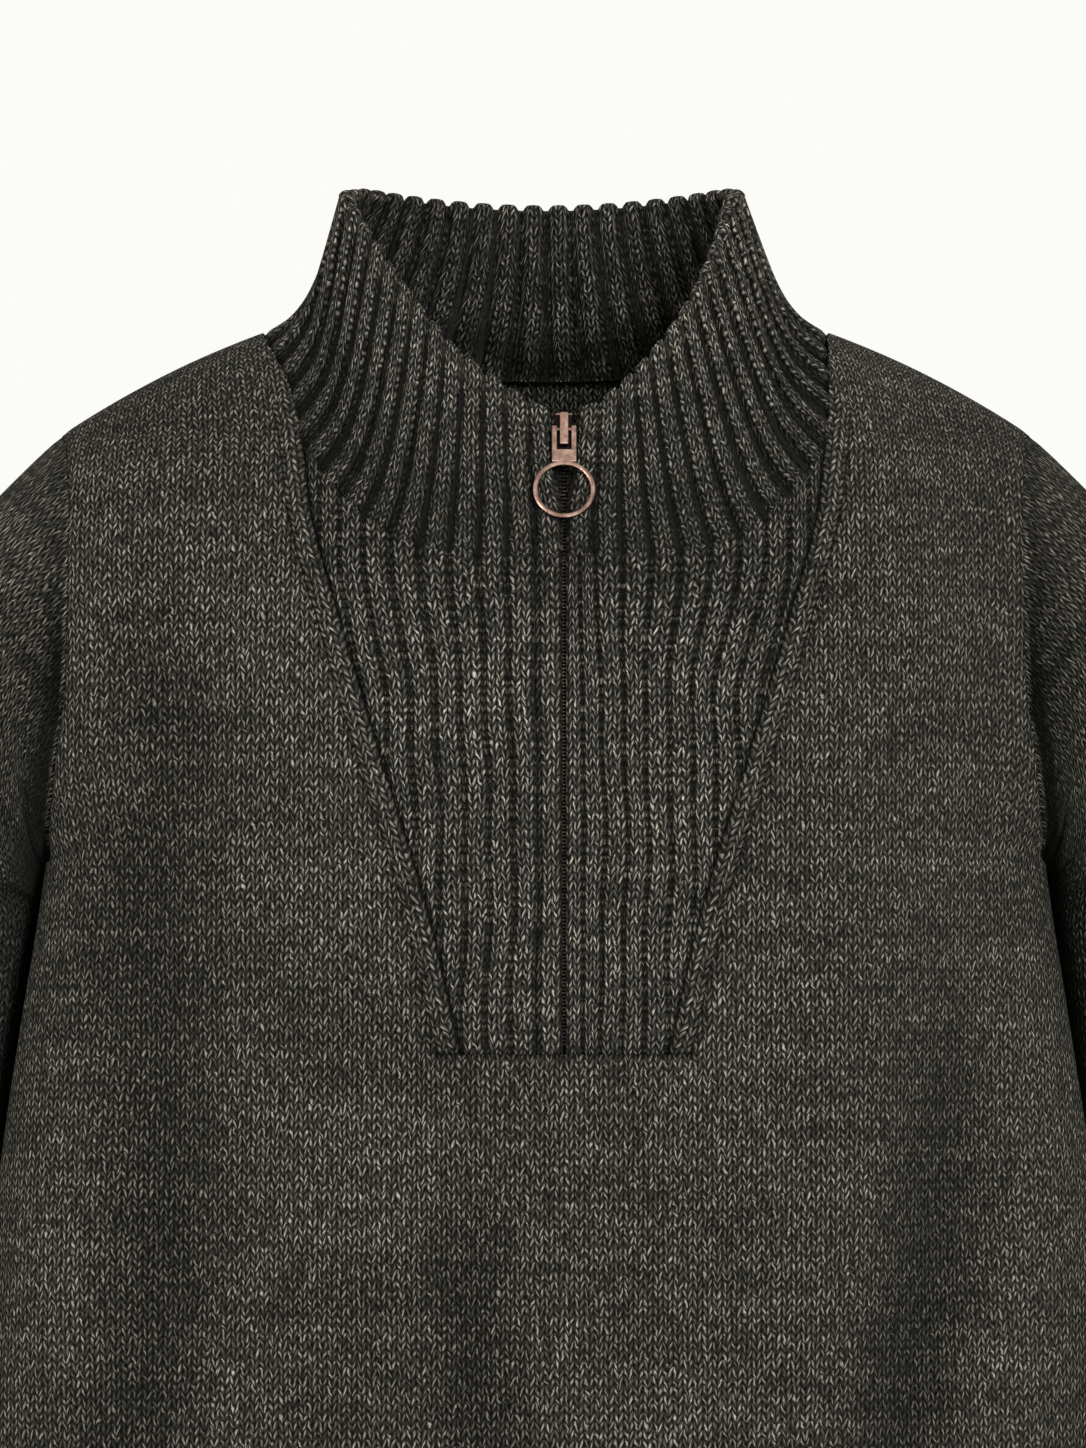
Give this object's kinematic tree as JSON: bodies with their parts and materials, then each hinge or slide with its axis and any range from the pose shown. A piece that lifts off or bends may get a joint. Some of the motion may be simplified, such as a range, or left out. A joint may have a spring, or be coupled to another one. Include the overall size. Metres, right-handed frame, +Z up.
{
  "type": "quarter zip sweater",
  "caption": "Long-sleeved knitted sweater with a fan-ribbed stand-up collar, ribbed V insert, quarter zip with a ring pull, and ribbed hem and cuffs, filled out as if worn.",
  "frame": {"origin": "middle of the neck base, level with the neck ends of the shoulder seams, where the wearer's neck and shoulders hold the sweater up", "axes": "+Z up along the wearer's neck, -Y out of the front, +X towards the right of a viewer who faces the front"},
  "size_m": [0.7062, 0.2451, 0.7203],
  "materials": {
    "knit": "marled charcoal-green wool stockinette, matte",
    "rib": "marled charcoal-green wool ribbing, matte",
    "zip_tape": "black woven tape, matte",
    "antique_copper": "darkened copper plating, satin, worn bright on its edges"
  },
  "bodies": {
    "garment": {"front_body": "knit", "back_body": "knit", "sleeve_left": "knit", "sleeve_right": "knit", "cuff_left": "rib", "cuff_right": "rib", "hem_front": "rib", "hem_back": "rib", "bib_left": "rib", "bib_right": "rib", "collar": "rib", "zip_tape": "zip_tape", "zip_slider": "antique_copper"},
    "zip_pull": {"zip_pull": "antique_copper"}
  },
  "joints": [
    {"name": "pull_hinge", "type": "hinge", "parent": "garment", "child": "zip_pull", "pos_m": [0.008, -0.0858, -0.0463], "axis": [-1, 0, 0], "range_deg": [0, 165]}
  ]
}
